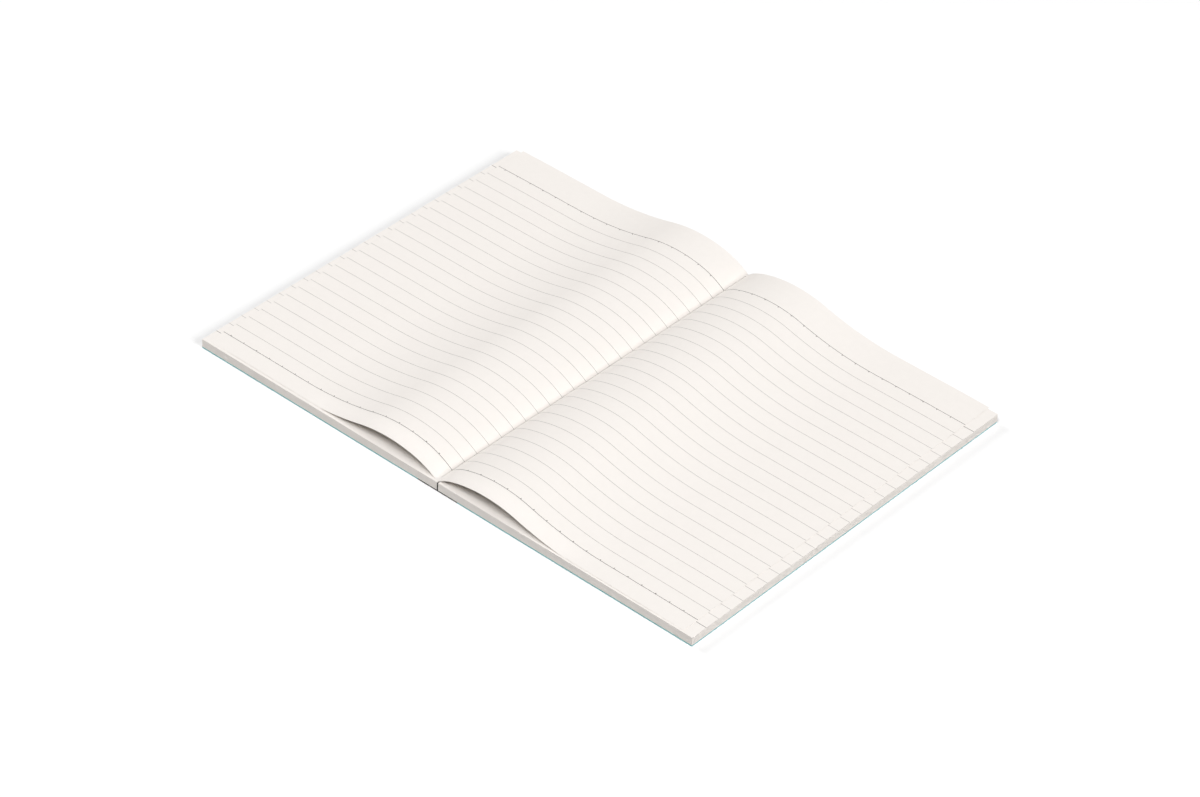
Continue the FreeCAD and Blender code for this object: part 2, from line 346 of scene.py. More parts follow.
def fibrous_finish(name, colours, patches, fibres, roughness, specular):
    """Two colours in soft patches of a size and detail, under fibres of a size and height.
    Real fibres are about 0.03 mm wide. They are drawn coarser, or no render shows them."""
    material, add, shader = new_material(name, roughness, specular)
    place = add("ShaderNodeTexCoord").outputs["Object"]
    patch = add("ShaderNodeTexNoise", {
        "Vector": place, "Scale": per_metre(patches[0]), "Detail": patches[1]})
    colour = add("ShaderNodeMix", {
        "Factor": patch, "A": linear(colours[0]), "B": linear(colours[1])}, data_type="RGBA")
    fibre = add("ShaderNodeTexNoise", {
        "Vector": place, "Scale": per_metre(fibres[0]), "Detail": 2.0})
    tooth = add("ShaderNodeBump", {"Height": fibre, "Distance": fibres[1]})
    set_inputs(shader, {"Base Color": colour, "Normal": tooth})
    return material


def uncoated_writing_paper(colours):
    """Cream wood-free paper, machine finished and uncoated: matt, faintly cloudy where the
    pulp is denser, with a fine tooth of fibres."""
    clouds = 3.0 * MM, 3.0
    fibres = 0.25 * MM, 0.006 * MM
    return fibrous_finish("uncoated_writing_paper", (colours.paper, colours.paper_shade),
                          clouds, fibres, roughness=0.88, specular=0.3)


def dyed_cover_card(colours):
    """Card dyed through and calendered: matt, even, with the faint flecks of its fibres."""
    flecks = 1.1 * MM, 4.0
    fibres = 0.35 * MM, 0.01 * MM
    return fibrous_finish("dyed_cover_card", (colours.card, colours.card_shade),
                          flecks, fibres, roughness=0.62, specular=0.4)


def printed_ink(name, ink, paper):
    """Offset ink on uncoated paper: matt, and thin where the tooth of the paper took none."""
    material, add, shader = new_material(name, roughness=0.8, specular=0.3)
    place = add("ShaderNodeTexCoord").outputs["Object"]
    grain_size = 0.4 * MM
    grain = add("ShaderNodeTexNoise", {
        "Vector": place, "Scale": per_metre(grain_size), "Detail": 2.0})
    thin = add("ShaderNodeMapRange", {
        "Value": grain, "From Min": 0.45, "From Max": 0.8, "To Min": 0.0, "To Max": 0.35})
    colour = add("ShaderNodeMix", {
        "Factor": thin, "A": linear(ink), "B": linear(paper)}, data_type="RGBA")
    set_inputs(shader, {"Base Color": colour})
    return material


def woven_book_cloth(colours, tape):
    """Starch-filled plain weave, dyed black: matt threads over and under each other, with painted
    shade that darkens the hollows between them. Real threads lie closer, and are drawn coarser to
    be seen.
    The UV map is in metres, along and across the strip."""
    material, add, shader = new_material("woven_book_cloth", roughness=0.75, specular=0.3)
    place = add("ShaderNodeUVMap", uv_map="strip")
    axes = add("ShaderNodeSeparateXYZ", {"Vector": place}).outputs
    turns = 2.0 * math.pi * per_metre(2.0 * tape.thread_pitch)
    thread_height = 0.06 * MM
    waves = []
    for axis in ("X", "Y"):
        angle = add("ShaderNodeMath", {0: axes[axis], 1: turns}, operation="MULTIPLY")
        waves.append(add("ShaderNodeMath", {0: angle}, operation="SINE"))
    # Over where the two waves agree, under where they don't, as in a plain weave
    crossing = add("ShaderNodeMath", dict(enumerate(waves)), operation="MULTIPLY")
    height = add("ShaderNodeMath", {0: crossing, 1: 0.5, 2: 0.5}, operation="MULTIPLY_ADD")
    # Painted shade: the cloth's colour darkens with the weave's height, down into the hollows
    colour = add("ShaderNodeMix", {
        "Factor": height, "A": linear(colours.cloth_painted_shade), "B": linear(colours.cloth)},
        data_type="RGBA")
    threads = add("ShaderNodeBump", {"Height": height, "Distance": thread_height})
    set_inputs(shader, {"Base Color": colour, "Sheen Weight": 0.06, "Normal": threads})
    return material


def plain_studio_floor(colours):
    """Smooth white sweep: white to the camera and in reflections, greyer as it lights the
    notebook from below, with the notebook's own shadow on it."""
    material, add, shader = new_material("plain_studio_floor", roughness=0.95, specular=0.0)
    path = add("ShaderNodeLightPath").outputs
    seen = path["Is Camera Ray"]
    for ray in ("Is Glossy Ray", "Is Transmission Ray"):
        seen = add("ShaderNodeMath", {0: seen, 1: path[ray]}, operation="MAXIMUM")
    colour = add("ShaderNodeMix", {
        "Factor": seen, "A": linear(colours.floor_bounce), "B": linear(colours.floor_seen)},
        data_type="RGBA")
    set_inputs(shader, {"Base Color": colour})
    return material


def paper_material(settings):
    """The one paper of the blocks and the lifted leaves."""
    made = bpy.data.materials.get("uncoated_writing_paper")
    return made or uncoated_writing_paper(settings.colours)


# Profiles that a sheet is laid on

def bezier_profile(name, corners):
    """Curve in the XZ plane. Each corner is (place, handle before it, handle after it)."""
    data = bpy.data.curves.new(name, "CURVE")
    data.dimensions = "3D"
    spline = data.splines.new("BEZIER")
    spline.bezier_points.add(len(corners) - 1)
    spline.resolution_u = 48
    for point, (place, before, after) in zip(spline.bezier_points, corners):
        point.handle_left_type = point.handle_right_type = "FREE"
        point.co = (place.x, 0.0, place.y)
        point.handle_left = (before.x, 0.0, before.y)
        point.handle_right = (after.x, 0.0, after.y)
    return new_object(name, data)


def on_circle(centre, radius, angle):
    """Point at an angle from straight up, positive away from the spine."""
    return centre + Vector((math.sin(angle), math.cos(angle))) * radius


def leaf_profile(side, leaf, paper):
    """Underside of a lifted leaf, from its outer edge to the spine: level to its foot, then
    a bend up, a bend over the crest and a tighter fall, each tangent to the one before.
    Returns the curve, its length and its length as far as the spine."""
    low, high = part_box(side + "_leaf")
    outer = max(abs(low.x), abs(high.x))
    rest = low.z
    rise = high.z - low.z - paper.sheet_thickness
    start = Vector((outer, rest))
    foot = Vector((leaf.foot_reach, rest))
    landing = Vector((leaf.landing_reach, rest))
    run = leaf.foot_reach - leaf.crest_reach
    radii = (run * run + rise * rise) / (2.0 * rise)
    climb = math.asin(run / radii)
    crest_centre = Vector((leaf.crest_reach, rest + rise - leaf.crest_radius))
    inflection = on_circle(crest_centre, leaf.crest_radius, climb)
    fall_angle = math.asin(leaf.crest_to_fall / leaf.crest_radius)
    fall = on_circle(crest_centre, leaf.crest_radius, -fall_angle)
    inward = (crest_centre - fall).normalized()
    chord = landing - fall
    fall_radius = chord.length_squared / (2.0 * chord.dot(inward))
    fall_turn = arc_turn(chord, fall_radius)

    # The direction of travel turns down or up along each arc
    def travel(down):
        return Vector((-math.cos(down), -math.sin(down)))

    third = (foot - start) / 3.0
    corners = [[start, start, start + third], [foot, foot - third, foot]]
    length = (foot - start).length
    down = 0.0
    for end, radius, turn in ((inflection, radii - leaf.crest_radius, -climb),
                              (fall, leaf.crest_radius, climb + fall_angle),
                              (landing, fall_radius, fall_turn)):
        handle = arc_handle(radius, abs(turn))
        corners[-1][2] = corners[-1][0] + travel(down) * handle
        down += turn
        corners.append([end, end - travel(down) * handle, end])
        length += radius * abs(turn)
    to_spine = length
    if landing.x < 0.0:
        centre = fall + inward * fall_radius
        crossing = Vector((0.0, centre.y + math.sqrt(fall_radius ** 2 - centre.x ** 2)))
        to_spine -= fall_radius * (fall_turn - arc_turn(crossing - fall, fall_radius))
    return bezier_profile(side + "_leaf_profile", corners), length, to_spine


def arc_turn(chord, radius):
    """Angle of an arc over a chord."""
    return 2.0 * math.asin(chord.length / (2.0 * radius))


def arc_handle(radius, turn):
    """Length of the handles with which a Bezier curve follows an arc."""
    return 4.0 / 3.0 * math.tan(turn / 4.0) * radius


def inputs_of(kind, *labels):
    """Inputs of one socket type."""
    return [(label, kind) for label in labels]


PROFILE_INPUTS = inputs_of("Object", "Profile") + inputs_of(
    "Float", "Profile Length", "Start", "Length", "Head Shift", "Cockle", "Cockle Size", "Fade",
    "Seed", "Turn", "Foot Edge", "Rest", "Sag", "Droop", "Droop Reach")


def lay_on_profile_tree():
    """Group that bends flat geometry onto a profile. X is the distance along the profile
    from the piece's start, Y stays, Z is the height over the profile. Slow waves lift it a
    little, a turn about Z makes a left half, and the foot edge droops."""
    name = "Lay on profile"
    if name in bpy.data.node_groups:
        return bpy.data.node_groups[name]
    tree, add, given = new_geometry_tree(name, inputs_of("Geometry", "Flat") + PROFILE_INPUTS)
    place = add("GeometryNodeInputPosition")
    flat = add("ShaderNodeSeparateXYZ", {"Vector": place}).outputs
    from_edge = add("ShaderNodeMath", {0: flat["X"], 1: given["Start"]}, operation="ADD")
    profile = add("GeometryNodeObjectInfo", {"Object": given["Profile"]})
    along = add("GeometryNodeSampleCurve", {
        "Curves": profile.outputs["Geometry"], "Length": from_edge},
        mode="LENGTH", use_all_curves=True).outputs
    tangent = add("ShaderNodeSeparateXYZ", {"Vector": along["Tangent"]}).outputs
    normal = add("ShaderNodeCombineXYZ", {
        "X": tangent["Z"],
        "Z": add("ShaderNodeMath", {0: tangent["X"], 1: -1.0}, operation="MULTIPLY")})

    # Slow waves, which die away towards both ends
    wave_place = add("ShaderNodeVectorMath", {
        0: add("ShaderNodeCombineXYZ", {"X": from_edge, "Y": flat["Y"], "Z": given["Seed"]}),
        1: add("ShaderNodeCombineXYZ", {
            "X": given["Cockle Size"], "Y": given["Cockle Size"], "Z": 1.0})},
        operation="DIVIDE")
    wave = add("ShaderNodeTexNoise", {"Vector": wave_place, "Scale": 1.0, "Detail": 1.0})
    to_spine = add("ShaderNodeMath", {0: given["Profile Length"], 1: from_edge},
                   operation="SUBTRACT")
    to_end = add("ShaderNodeMath", {0: to_spine, 1: from_edge}, operation="MINIMUM")
    fade = add("ShaderNodeMapRange", {
        "Value": to_end, "From Min": 0.0, "From Max": given["Fade"]},
        interpolation_type="SMOOTHSTEP")
    wave = add("ShaderNodeMath", {0: wave, 1: fade}, operation="MULTIPLY")
    height = add("ShaderNodeMath", {0: wave, 1: given["Cockle"], 2: flat["Z"]},
                 operation="MULTIPLY_ADD")

    # Onto the profile, and round to the left for a left half
    lifted = add("ShaderNodeVectorMath", {0: normal, "Scale": height}, operation="SCALE")
    across = add("ShaderNodeCombineXYZ", {
        "Y": add("ShaderNodeMath", {0: flat["Y"], 1: given["Head Shift"]}, operation="ADD")})
    laid = along["Position"]
    for part in (across, lifted):
        laid = add("ShaderNodeVectorMath", {0: laid, 1: part}, operation="ADD")
    turned = add("ShaderNodeVectorRotate", {"Vector": laid, "Angle": given["Turn"]},
                 rotation_type="Z_AXIS")
    whole = add("ShaderNodeSeparateXYZ", {"Vector": turned}).outputs

    # The foot edge loses some of the lift that the profile has over the block
    profile_z = add("ShaderNodeSeparateXYZ", {"Vector": along["Position"]}).outputs["Z"]
    lift = add("ShaderNodeMath", {0: profile_z, 1: given["Rest"]}, operation="SUBTRACT")
    sag = add("ShaderNodeMath", {0: lift, 1: given["Sag"]}, operation="MINIMUM")
    lost = add("ShaderNodeMath", {0: lift, 1: given["Droop"], 2: sag}, operation="MULTIPLY_ADD")
    from_foot = add("ShaderNodeMath", {0: whole["Y"], 1: given["Foot Edge"]}, operation="SUBTRACT")
    at_foot = add("ShaderNodeMapRange", {
        "Value": from_foot, "From Min": 0.0, "From Max": given["Droop Reach"],
        "To Min": 1.0, "To Max": 0.0}, interpolation_type="SMOOTHSTEP")
    lost = add("ShaderNodeMath", {0: lost, 1: at_foot}, operation="MULTIPLY")
    drooped = add("ShaderNodeCombineXYZ", {
        "X": whole["X"], "Y": whole["Y"],
        "Z": add("ShaderNodeMath", {0: whole["Z"], 1: lost}, operation="SUBTRACT")})
    placed = add("GeometryNodeSetPosition", {"Geometry": given["Flat"], "Position": drooped})
    add("NodeGroupOutput", {"Geometry": placed})
    return tree


def lay_on_profile(tree, geometry, given):
    """Bend flat geometry of a tree that has the profile's inputs onto that profile."""
    passed_on = {label: given[label] for label, _kind in PROFILE_INPUTS}
    return add_node(tree, "GeometryNodeGroup", {"Flat": geometry, **passed_on},
                    node_tree=lay_on_profile_tree())


# Page blocks

def leaf_stack_tree():
    """Stack of flat leaves, each a little out of line with the others."""
    tree, add, given = new_geometry_tree("Leaf stack", [
        *inputs_of("Vector", "Leaf Size", "First Leaf"), *inputs_of("Int", "Leaf Count", "Seed"),
        *inputs_of("Float", "Pitch", "Stagger"), *inputs_of("Material", "Paper")])
    leaf = add("GeometryNodeMeshCube", {"Size": given["Leaf Size"]})
    row = add("GeometryNodeMeshLine", {
        "Count": given["Leaf Count"], "Start Location": given["First Leaf"],
        "Offset": add("ShaderNodeCombineXYZ", {"Z": given["Pitch"]})})
    out_of_line = add("FunctionNodeRandomValue", {
        "Min": (-1.0, -1.0, 0.0), "Max": (1.0, 1.0, 0.0), "Seed": given["Seed"]},
        data_type="FLOAT_VECTOR")
    offset = add("ShaderNodeVectorMath", {
        0: out_of_line, "Scale": given["Stagger"]}, operation="SCALE")
    points = add("GeometryNodeSetPosition", {"Geometry": row, "Offset": offset})
    leaves = add("GeometryNodeInstanceOnPoints", {"Points": points, "Instance": leaf})
    return end_tree(tree, leaves, given["Paper"])


class NOTEBOOK_OT_page_blocks(Operator):
    """Build the two page blocks as stacks of single leaves"""
    bl_idname = "notebook.page_blocks"
    bl_label = "Page Blocks"

    def execute(self, context):
        settings = context.scene.notebook
        paper = settings.paper
        tree = leaf_stack_tree()
        for seed, side in enumerate(SIDES, start=1):
            low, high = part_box(side + "_page_block")
            size = high - low
            pitch = size.z / paper.leaf_count
            thickness = pitch * paper.paper_share
            inner_size = Vector((size.x - 2 * paper.stagger, size.y - 2 * paper.stagger,
                                 thickness))
            top_leaf = high.z - thickness / 2.0
            piece = mesh_from_tree(side + "_page_stack", tree, {
                "Leaf Size": inner_size,
                "Leaf Count": paper.leaf_count,
                "Pitch": -pitch,
                "First Leaf": Vector(((low.x + high.x) / 2, (low.y + high.y) / 2, top_leaf)),
                "Stagger": paper.stagger,
                "Seed": seed,
                "Paper": paper_material(settings),
            })
            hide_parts(side + "_page_block")
            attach(piece, SIDES[side]["body"])
        return {"FINISHED"}


# Lifted leaves

def sheet_tree():
    """One sheet of paper laid on a profile."""
    tree, add, given = new_geometry_tree("Laid sheet", [
        *PROFILE_INPUTS, *inputs_of("Float", "Height", "Thickness"),
        *inputs_of("Int", "Along", "Across"), *inputs_of("Material", "Paper")])
    size = add("ShaderNodeCombineXYZ", {
        "X": given["Length"], "Y": given["Height"], "Z": given["Thickness"]})
    sheet = add("GeometryNodeMeshCube", {
        "Size": size, "Vertices X": given["Along"], "Vertices Y": given["Across"]})
    half = add("ShaderNodeVectorMath", {0: size, 1: (0.5, 0.0, 0.5)}, operation="MULTIPLY")
    from_edge = add("GeometryNodeSetPosition", {"Geometry": sheet, "Offset": half})
    return end_tree(tree, lay_on_profile(tree, from_edge, given), given["Paper"])


def page_parts(side, settings, lifted):
    """Parts of a half's top leaf, or of its block's top page, as (name, body, inputs that lay
    it on its profile). What lies past the spine rides with the other half, so that it ends
    between the pages when the notebook closes. The profile goes after the last part."""
    paper = settings.paper
    low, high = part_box(side + "_leaf")
    turn = SIDES[side]["turn"]
    longest_step = 0.6 * MM
    if lifted:
        head_shift = (low.y + high.y) / 2.0
        profile, length, to_spine = leaf_profile(side, getattr(paper, side), paper)
    else:
        head_shift = 0.0
        outer = Vector((BLOCK_HIGH.x, BLOCK_HIGH.z))
        spine = Vector((BLOCK_LOW.x, BLOCK_HIGH.z))
        third = (spine - outer) / 3.0
        profile = bezier_profile(side + "_block_profile", [
            (outer, outer, outer + third), (spine, spine - third, spine)])
        length = to_spine = (outer - spine).length
    values = {
        "Profile": profile,
        "Profile Length": length,
        "Head Shift": -head_shift if turn else head_shift,
        "Cockle": paper.cockle if lifted else 0.0,
        "Cockle Size": paper.cockle_size,
        "Fade": paper.cockle_fade,
        "Seed": turn,
        "Turn": turn,
        "Foot Edge": low.y,
        "Rest": low.z if lifted else BLOCK_HIGH.z,
        "Sag": paper.sag if lifted else 0.0,
        "Droop": paper.droop if lifted else 0.0,
        "Droop Reach": paper.droop_reach,
    }
    parts = [("", side, 0.0, to_spine)]
    if to_spine < length:
        other = next(name for name in SIDES if name != side)
        parts.append(("_gutter", other, to_spine, length - to_spine))
    for name, rides_with, start, run in parts:
        yield name, SIDES[rides_with]["body"], {
            **values, "Start": start, "Length": run,
            "Along": 2 + int(run / longest_step) if lifted else 2}
    bpy.data.curves.remove(profile.data)


def flatten_when_closed(piece):
    """Give a lifted leaf, or the ruling on it, its own copy of its mesh. It is not flattened onto
    its block.
    """
    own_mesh(piece)


class NOTEBOOK_OT_lifted_leaves(Operator):
    """Build the top leaf of either half, lifted beside the spine"""
    bl_idname = "notebook.lifted_leaves"
    bl_label = "Lifted Leaves"

    def execute(self, context):
        settings = context.scene.notebook
        paper = settings.paper
        tree = sheet_tree()
        points_across = 106
        for side in SIDES:
            for name, body, values in page_parts(side, settings, lifted=True):
                piece = mesh_from_tree(side + "_top_leaf" + name, tree, {
                    **values,
                    "Height": PAGE_HEIGHT,
                    "Thickness": paper.sheet_thickness,
                    "Across": points_across,
                    "Paper": paper_material(settings),
                })
                shade_by_angle(piece)
                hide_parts(side + "_leaf")
                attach(piece, body)
                flatten_when_closed(piece)
        return {"FINISHED"}


# Ruling

def ruled_lines_tree():
    """Rules laid on a profile, and ticks off the first and the last of them, which point
    into the page."""
    tree, add, given = new_geometry_tree("Ruled lines", [
        *PROFILE_INPUTS, *inputs_of("Int", "Along", "Rule Count", "Tick Count"),
        *inputs_of("Float", "Over Profile", "Film", "First Rule", "Pitch", "Rule Width",
                   "First Tick", "Tick Pitch", "Tick Width", "Tick Length"),
        *inputs_of("Material", "Ink")])

    def row_of(shape, count, x, y, step):
        start = add("ShaderNodeCombineXYZ", {"X": x, "Y": y, "Z": given["Over Profile"]})
        row = add("GeometryNodeMeshLine", {
            "Count": count, "Start Location": start,
            "Offset": add("ShaderNodeCombineXYZ", step)})
        return add("GeometryNodeInstanceOnPoints", {"Points": row, "Instance": shape})

    middle = add("ShaderNodeMath", {0: given["Length"], 1: 0.5}, operation="MULTIPLY")
    rule_size = add("ShaderNodeCombineXYZ", {
        "X": given["Length"], "Y": given["Rule Width"], "Z": given["Film"]})
    rule = add("GeometryNodeMeshCube", {"Size": rule_size, "Vertices X": given["Along"]})
    tick_size = add("ShaderNodeCombineXYZ", {
        "X": given["Tick Width"], "Y": given["Tick Length"], "Z": given["Film"]})
    tick = add("GeometryNodeMeshCube", {"Size": tick_size})
    both_widths = add("ShaderNodeMath", {
        0: given["Tick Length"], 1: given["Rule Width"]}, operation="ADD")
    off_rule = add("ShaderNodeMath", {0: both_widths, 1: 0.5}, operation="MULTIPLY")
    steps = add("ShaderNodeMath", {0: given["Rule Count"], 1: 1.0}, operation="SUBTRACT")
    last_rule = add("ShaderNodeMath", {
        0: steps, 1: given["Pitch"], 2: given["First Rule"]}, operation="MULTIPLY_ADD")
    rows = [row_of(rule, given["Rule Count"], middle, given["First Rule"],
                   {"Y": given["Pitch"]})]
    for operation, rule_place in (("ADD", given["First Rule"]), ("SUBTRACT", last_rule)):
        y = add("ShaderNodeMath", {0: rule_place, 1: off_rule}, operation=operation)
        rows.append(row_of(tick, given["Tick Count"], given["First Tick"], y,
                           {"X": given["Tick Pitch"]}))
    printed = add("GeometryNodeJoinGeometry", {"Geometry": rows})
    flat = add("GeometryNodeRealizeInstances", {"Geometry": printed})
    return end_tree(tree, lay_on_profile(tree, flat, given), given["Ink"])


def foot_line(side, ruling):
    """Where the first rule lies in the half's own frame. A left half is turned about Z, so
    its rules are counted from the head."""
    if SIDES[side]["turn"]:
        return PAGE_HEIGHT / 2.0 - ruling.foot_margin - (ruling.rule_count - 1) * ruling.pitch
    return ruling.foot_margin - PAGE_HEIGHT / 2.0


class NOTEBOOK_OT_ruling(Operator):
    """Print the ruling on the lifted leaves and on the top pages of the blocks"""
    bl_idname = "notebook.ruling"
    bl_label = "Ruling"

    def execute(self, context):
        settings = context.scene.notebook
        ruling = settings.ruling
        colours = settings.colours
        tree = ruled_lines_tree()
        feint = printed_ink("feint_rule_ink", colours.feint_ink, colours.paper)
        heavy = printed_ink("heavy_rule_ink", colours.heavy_ink, colours.paper)
        for side in SIDES:
            foot_rule = foot_line(side, ruling)
            lines = {
                "feint": {
                    "First Rule": foot_rule + ruling.pitch,
                    "Rule Count": ruling.rule_count - 2,
                    "Pitch": ruling.pitch,
                    "Rule Width": ruling.rule_width,
                    "Ink": feint,
                },
                "heavy": {
                    "First Rule": foot_rule,
                    "Rule Count": 2,
                    "Pitch": (ruling.rule_count - 1) * ruling.pitch,
                    "Rule Width": ruling.heavy_width,
                    "Ink": heavy,
                },
            }
            self.print_side(tree, side, settings, lines)
        return {"FINISHED"}

    def print_side(self, tree, side, settings, lines):
        """Print both kinds of line on the top page and the top leaf of one half."""
        leaf = getattr(settings.paper, side)
        ruling = settings.ruling
        over_paper = 0.004 * MM
        to_head = -ruling.print_shift if SIDES[side]["turn"] else ruling.print_shift
        for surface, thickness in (("_page", 0.0), ("_leaf", settings.paper.sheet_thickness)):
            lifted = thickness > 0.0
            for name, body, values in page_parts(side, settings, lifted):
                tick_count = int((values["Length"] - leaf.first_tick) / leaf.tick_pitch)
                for kind, own in lines.items():
                    piece = mesh_from_tree(side + surface + name + "_" + kind + "_rules", tree, {
                        **values,
                        **own,
                        "First Rule": own["First Rule"] + (to_head if lifted else 0.0),
                        "Over Profile": thickness + over_paper + ruling.film / 2.0,
                        "Film": ruling.film,
                        "First Tick": leaf.first_tick,
                        "Tick Count": max(0, tick_count) if kind == "heavy" else 0,
                        "Tick Pitch": leaf.tick_pitch,
                        "Tick Width": ruling.tick_width,
                        "Tick Length": ruling.tick_length,
                    })
                    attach(piece, body)
                    if lifted:
                        flatten_when_closed(piece)


# Spine tape

def bend_pairs(outer_arc, inner_arc, start, turn, steps):
    """Bend of a section as (outer point, inner point) pairs. An arc is a centre and radius."""
    angles = [start + turn * step / steps for step in range(steps + 1)]
    return [(on_circle(*outer_arc, angle), on_circle(*inner_arc, angle)) for angle in angles]


def limb_section(tape):
    """Section of the tape up one half, from the end of its lap's bend to the start of the
    fold. Outer is the side that shows when closed."""
    bend = tape.thickness + tape.crease_radius
    crease = Vector((tape.half_gap + bend, tape.clearance + bend))
    fold_z = TAPE_HIGH.z - tape.half_gap - tape.thickness
    crease_steps = 8
    riser_steps = 16
    pairs = bend_pairs((crease, bend), (crease, tape.crease_radius), math.pi, QUARTER_TURN,
                       crease_steps)
    for step in range(1, riser_steps + 1):
        z = crease.y + (fold_z - crease.y) * step / riser_steps
        pairs.append((Vector((tape.half_gap, z)), Vector((tape.half_gap + tape.thickness, z))))
    return pairs


def fold_section(tape):
    """Section of the tape's fold between the two halves, from the right riser to the left."""
    fold = Vector((0.0, TAPE_HIGH.z - tape.half_gap - tape.thickness))
    fold_steps = 20
    return bend_pairs((fold, tape.half_gap), (fold, tape.half_gap + tape.thickness),
                      QUARTER_TURN, -math.pi, fold_steps)


def lap_section(tape):
    """Section of a lap along the page's height: flat under the card, and turned up over the
    card's head and foot edge."""
    half = TAPE_HIGH.y
    low = tape.clearance
    bend = tape.thickness + tape.crease_radius
    corner = Vector((-half + bend, low + bend))
    outer_corner = Vector((-half + tape.edge_radius, low + tape.edge_radius))
    bend_steps = 6
    flat_steps = 40
    turned_up = [(Vector((-half, COVER_TOP)), Vector((-half + tape.thickness, COVER_TOP)))]
    turned_up += bend_pairs((outer_corner, tape.edge_radius), (corner, tape.crease_radius),
                            -QUARTER_TURN, -QUARTER_TURN, bend_steps)
    flat = [(-half + bend) * (1.0 - 2.0 * step / flat_steps) for step in range(1, flat_steps)]
    mirrored = [(Vector((-outer.x, outer.y)), Vector((-inner.x, inner.y)))
                for outer, inner in reversed(turned_up)]
    return turned_up + [(Vector((y, low)), Vector((y, low + tape.thickness)))
                        for y in flat] + mirrored


def add_strip(shell, strip, pairs, ends, steps, place):
    """Closed strip between two lines of points of a section, drawn out between two ends. Its
    UV map is in metres: along the section, and along the drawing. A function places it."""
    run = [0.0]
    for before, after in zip(pairs, pairs[1:]):
        run.append(run[-1] + (after[0] + after[1] - before[0] - before[1]).length / 2.0)
    width = abs(ends[1] - ends[0]) / steps
    unrolled = {}
    rows = []
    for row in range(steps + 1):
        across = ends[0] + (ends[1] - ends[0]) * row / steps
        rows.append([[shell.verts.new(place(point, across)) for point in line]
                     for line in zip(*pairs)])
        for line in rows[-1]:
            unrolled.update((vertex, (along, row * width)) for vertex, along in zip(line, run))

    def face(*corners):
        for loop in shell.faces.new(corners).loops:
            loop[strip].uv = unrolled[loop.vert]

    last = len(pairs) - 1
    for low, high in zip(rows, rows[1:]):
        for side in (0, 1):
            for step in range(last):
                face(low[side][step], low[side][step + 1],
                     high[side][step + 1], high[side][step])
        for step in (0, last):
            face(low[0][step], low[1][step], high[1][step], high[0][step])
    for row in (rows[0], rows[-1]):
        for step in range(last):
            face(row[0][step], row[0][step + 1], row[1][step + 1], row[1][step])


def finished_shell(name, shell, material):
    """Plain object from a closed shell, its faces outward and its bends smooth."""
    bmesh.ops.recalc_face_normals(shell, faces=shell.faces)
    mesh = bpy.data.meshes.new(name)
    shell.to_mesh(mesh)
    shell.free()
    mesh.materials.append(material)
    piece = new_object(name, mesh)
    shade_by_angle(piece)
    return piece


class NOTEBOOK_OT_spine_tape(Operator):
    """Build the cloth tape: a lap and riser on either half and the fold between them"""
    bl_idname = "notebook.spine_tape"
    bl_label = "Spine Tape"

    def execute(self, context):
        settings = context.scene.notebook
        tape = settings.tape
        cloth = woven_book_cloth(settings.colours, tape)
        limb = limb_section(tape)
        lap_start = limb[0][0].x
        tape_ends = TAPE_LOW.y, TAPE_HIGH.y
        tape_steps = 60
        lap_steps = 12
        # Reaches for half a turn blended one way round, meant for the back cover alone, and for
        # the front tape's fold in one line between the lap and its bend. Nothing turns or folds
        # the tape by them.
        corner_reach = 0.9 * MM
        back_turns = Vector((0.0, 0.0, corner_reach)), Vector((corner_reach, 0.0, 0.0))
        line_from, line_to = 0.0035 * MM, 0.001 * MM
        front_turns = [Vector((short - lap_start, 0.0, 0.0)) for short in (line_from, line_to)]
        for name, way, pages, board, turns in (
                ("back_tape", 1.0, "right_pages", "back_board", back_turns),
                ("front_tape", -1.0, "left_pages", "front_board", front_turns)):
            shell = bmesh.new()
            strip = shell.loops.layers.uv.new("strip")
            add_strip(shell, strip, limb, tape_ends, tape_steps,
                      lambda point, across: (way * point.x, across, point.y))
            add_strip(shell, strip, lap_section(tape), (lap_start, TAPE_HIGH.x), lap_steps,
                      lambda point, across: (way * across, point.x, point.y))
            piece = finished_shell(name, shell, cloth)
            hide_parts("spine_tape")
            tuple(turns[0])
            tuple(turns[1])
            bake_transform(piece)
        shell = bmesh.new()
        strip = shell.loops.layers.uv.new("strip")
        add_strip(shell, strip, fold_section(tape), tape_ends, tape_steps,
                  lambda point, across: (point.x, across, point.y))
        fold = finished_shell("fold_tape", shell, cloth)
        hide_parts("spine_tape")
        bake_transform(fold)
        return {"FINISHED"}


# Covers

class NOTEBOOK_OT_covers(Operator):
    """Give the two cover cards their finish"""
    bl_idname = "notebook.covers"
    bl_label = "Covers"

    def execute(self, context):
        card = dyed_cover_card(context.scene.notebook.colours)
        for node in ("front_cover", "back_cover"):
            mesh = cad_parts[node].data
            mesh.materials.clear()
            mesh.materials.append(card)
        return {"FINISHED"}


# Stage

